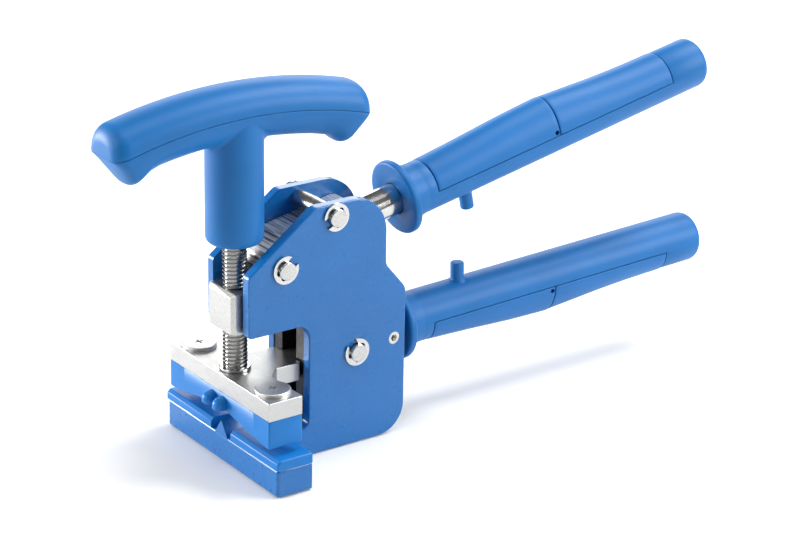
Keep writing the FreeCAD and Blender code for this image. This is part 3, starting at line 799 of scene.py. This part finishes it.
def metal(name, dark, light, rough, scale, stretch, strength, distance=0.00005, spread=(0.35, 0.65)):
    """Bare or plated metal whose grain runs along the axis with the small stretch."""
    material, nodes, links, shader = tree(name)
    grain = noise(nodes, links, scale, stretch=stretch, detail=5.0, roughness=0.6)
    cloud = noise(nodes, links, 60.0, detail=3.0)
    links.new(tint(nodes, links, grain, dark, light, *spread), shader.inputs["Base Color"])
    links.new(remap(nodes, links, cloud, rough[0], rough[1]), shader.inputs["Roughness"])
    links.new(bump(nodes, links, grain, strength, distance), shader.inputs["Normal"])
    shader.inputs["Metallic"].default_value = 1.0
    return material


def make_materials():
    return {
        "blue_paint": paint("blue_paint_look", (0.004, 0.130, 0.400)),
        "pad_plastic": plastic("pad_plastic_look", (0.005, 0.155, 0.475), (0.30, 0.40), 900.0, 0.08),
        "handle_plastic": plastic("handle_plastic_look", (0.004, 0.128, 0.385), (0.42, 0.52), 2600.0, 0.16),
        "palm_plastic": plastic("palm_plastic_look", (0.005, 0.130, 0.395), (0.42, 0.52), 2200.0, 0.20),
        "black_steel": metal(
            "black_steel_look", (0.050, 0.048, 0.050), (0.090, 0.086, 0.088), (0.38, 0.50),
            700.0, (1, 1, 1), 0.2
        ),
        "nickel_steel": metal(
            "nickel_steel_look", (0.42, 0.42, 0.41), (0.60, 0.60, 0.59), (0.32, 0.40),
            2600.0, (1, 1, 0.25), 0.12
        ),
        "bare_steel": metal(
            "bare_steel_look", (0.46, 0.46, 0.45), (0.58, 0.58, 0.57), (0.22, 0.30), 900.0, (1, 1, 1), 0.02
        ),
        "bright_steel": metal(
            "bright_steel_look", (0.54, 0.54, 0.53), (0.62, 0.62, 0.61), (0.16, 0.22), 900.0, (1, 1, 1), 0.012
        ),
        "spring_steel": metal(
            "spring_steel_look", (0.28, 0.27, 0.26), (0.44, 0.43, 0.41), (0.22, 0.35), 900.0, (1, 1, 1), 0.1
        ),
        "bronze": metal(
            "bronze_look", (0.48, 0.26, 0.10), (0.62, 0.36, 0.15), (0.25, 0.38), 500.0, (1, 0.1, 1), 0.2
        ),
    }


def milled_lever():
    """Steel with coarse milling lines across the lever."""
    return metal(
        "milled_lever_look", (0.12, 0.12, 0.12), (0.95, 0.95, 0.94), (0.42, 0.52), 1100.0, (1, 0.03, 1), 0.9,
        distance=0.0003, spread=(0.38, 0.56)
    )


def thread_steel():
    """Rolled thread, darker than the plated parts; the darker colour is partly painted shade for the thread
    grooves.
    """
    return metal(
        "thread_steel_look", (0.32, 0.32, 0.31), (0.44, 0.44, 0.43), (0.18, 0.26), 1400.0, (1, 1, 1), 0.02
    )


def turned_cap():
    """Plated screw head with a satin top."""
    return metal(
        "turned_cap_look", (0.56, 0.56, 0.55), (0.70, 0.70, 0.69), (0.32, 0.40), 1800.0, (1, 1, 1), 0.02
    )


def ground_plate():
    """Surface-ground steel with a fine grain across the plate."""
    return metal(
        "ground_plate_look", (0.47, 0.47, 0.46), (0.58, 0.58, 0.57), (0.36, 0.44), 3000.0, (1, 0.05, 1), 0.12
    )


# ------------------------------------------------------------------- build

looks = make_materials()
special = {"jaw_plate": ground_plate(), "upper_lever": milled_lever(), "pad_cap_screws": turned_cap()}

pieces = []
pieces += build_grip("upper", "lever", PIVOT, UPPER_RISE, UPPER_GRIP_START, False)
pieces += build_grip("lower", "frame", ROOT, LOWER_RISE, LOWER_GRIP_START, True)

handle_body = add_object("t_handle_lower_moulding", *bar_half(False), crease=45)
handle_stem = add_object("t_handle_stem_moulding", *stem(), crease=45)
handle_cap = add_object("t_handle_cap_moulding", *bar_half(True), crease=45)
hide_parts("t_handle_body")
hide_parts("t_handle_cap")
for obj in (handle_body, handle_stem, handle_cap):
    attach(obj, "screw")
    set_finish(obj, "handle_plastic")

thread = threaded_rod(THREAD_BOTTOM, THREAD_TOP)
screw_shaft = add_object("screw_shaft", *screw_ends(), crease=35)
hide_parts("adjusting_screw")
for obj in (thread, screw_shaft):
    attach(obj, "screw")
    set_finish(obj, "bright_steel")

coil = coil_spring(SPRING_SEAT, SPRING_TOP, SPRING_RADIUS, SPRING_WIRE, SPRING_X)
spring = add_object("return_spring_coil", *coil, crease=60)
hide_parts("return_spring")
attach(spring, "frame")
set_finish(spring, "spring_steel")
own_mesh(spring)

pad_shape = join(pad_body(), pad_nose(NOSE_Y), pad_nose(-NOSE_Y))
pad = add_object("upper_pad_moulding", *pad_shape, crease=45)
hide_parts("upper_pad")
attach(pad, "jaw")
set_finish(pad, "pad_plastic")

pieces += [handle_body, handle_stem, handle_cap, thread, screw_shaft, spring, pad]

# The thread and screw shaft get the darker thread steel, whose colour partly carries painted shade for the
# thread grooves.
thread_steel_with_painted_shade = thread_steel()
for obj in pieces:
    obj.data.materials.clear()
    obj.data.materials.append(thread_steel_with_painted_shade if obj in (thread, screw_shaft) else looks[obj["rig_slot"]])

for node, width in EASED_EDGES:
    ease_edges(node, width)

slot_of = {part["node"]: part["material_slot"] for part in frame["record"]["subparts"]}
for node, obj in frame["nodes"].items():
    obj.data.materials.clear()
    obj.data.materials.append(special.get(node, looks[slot_of[node]]))


# ------------------------------------------------------------ floor, light

def floor_look():
    material, nodes, links, shader = tree("floor_look")
    cloud = noise(nodes, links, 3.0, detail=2.0)
    links.new(tint(nodes, links, cloud, (0.86, 0.86, 0.86), (0.88, 0.88, 0.88)), shader.inputs["Base Color"])
    shader.inputs["Roughness"].default_value = 0.9
    shader.inputs["Specular IOR Level"].default_value = 0.1
    return material


floor_mesh = bpy.data.meshes.new("floor")
floor_mesh.from_pydata([(-6, -6, 0), (6, -6, 0), (6, 6, 0), (-6, 6, 0)], [], [(0, 1, 2, 3)])
floor = bpy.data.objects.new("floor", floor_mesh)
floor.location = (0, 0, -0.0004)
floor.data.materials.append(floor_look())
bpy.context.scene.collection.objects.link(floor)

world = bpy.data.worlds.new("studio")
world.use_nodes = True
world.node_tree.nodes["Background"].inputs["Color"].default_value = (1.0, 1.0, 1.0, 1)
world.node_tree.nodes["Background"].inputs["Strength"].default_value = 0.14
bpy.context.scene.world = world


def softbox(name, place, aim, size, power):
    lamp = bpy.data.lights.new(name, "AREA")
    lamp.shape = "RECTANGLE"
    lamp.size, lamp.size_y = size
    lamp.energy = power
    obj = bpy.data.objects.new(name, lamp)
    obj.location = place
    obj.rotation_mode = "QUATERNION"
    obj.rotation_quaternion = (Vector(aim) - Vector(place)).to_track_quat("-Z", "Y")
    bpy.context.scene.collection.objects.link(obj)


CENTRE = (0.08, 0.0, 0.08)
softbox("left", (-0.95, 1.35, 0.30), CENTRE, (0.9, 0.5), 40.0)
softbox("left_high", (-1.5, 0.2, 1.1), CENTRE, (0.8, 0.7), 10.0)
softbox("right", (1.25, -1.20, 0.80), CENTRE, (0.8, 0.7), 25.0)
softbox("high_right", (1.0, -0.1, 1.4), CENTRE, (0.8, 0.7), 20.0)
softbox("back", (0.95, 1.3, 0.62), CENTRE, (1.3, 0.6), 9.0)
softbox("top", (-0.1, -0.1, 1.7), CENTRE, (0.9, 0.8), 9.0)


# ------------------------------------------------------------------ camera

right = Vector((0.81298, -0.58199, 0.01879))
up = Vector((0.19856, 0.3074, 0.93063))
back = Vector((-0.5474, -0.75285, 0.36547))
camera_data = bpy.data.cameras.new("camera")
camera_data.sensor_width = 36.0
camera_data.lens = 115.38
camera_data.clip_start = 0.05
camera_data.clip_end = 50.0
camera = bpy.data.objects.new("camera", camera_data)
camera.matrix_world = Matrix((
    (right.x, up.x, back.x, -0.60075),
    (right.y, up.y, back.y, -0.95923),
    (right.z, up.z, back.z, 0.54469),
    (0, 0, 0, 1),
))
bpy.context.scene.collection.objects.link(camera)
bpy.context.scene.camera = camera
bpy.context.scene.view_settings.view_transform = "Standard"

bpy.context.view_layer.update()
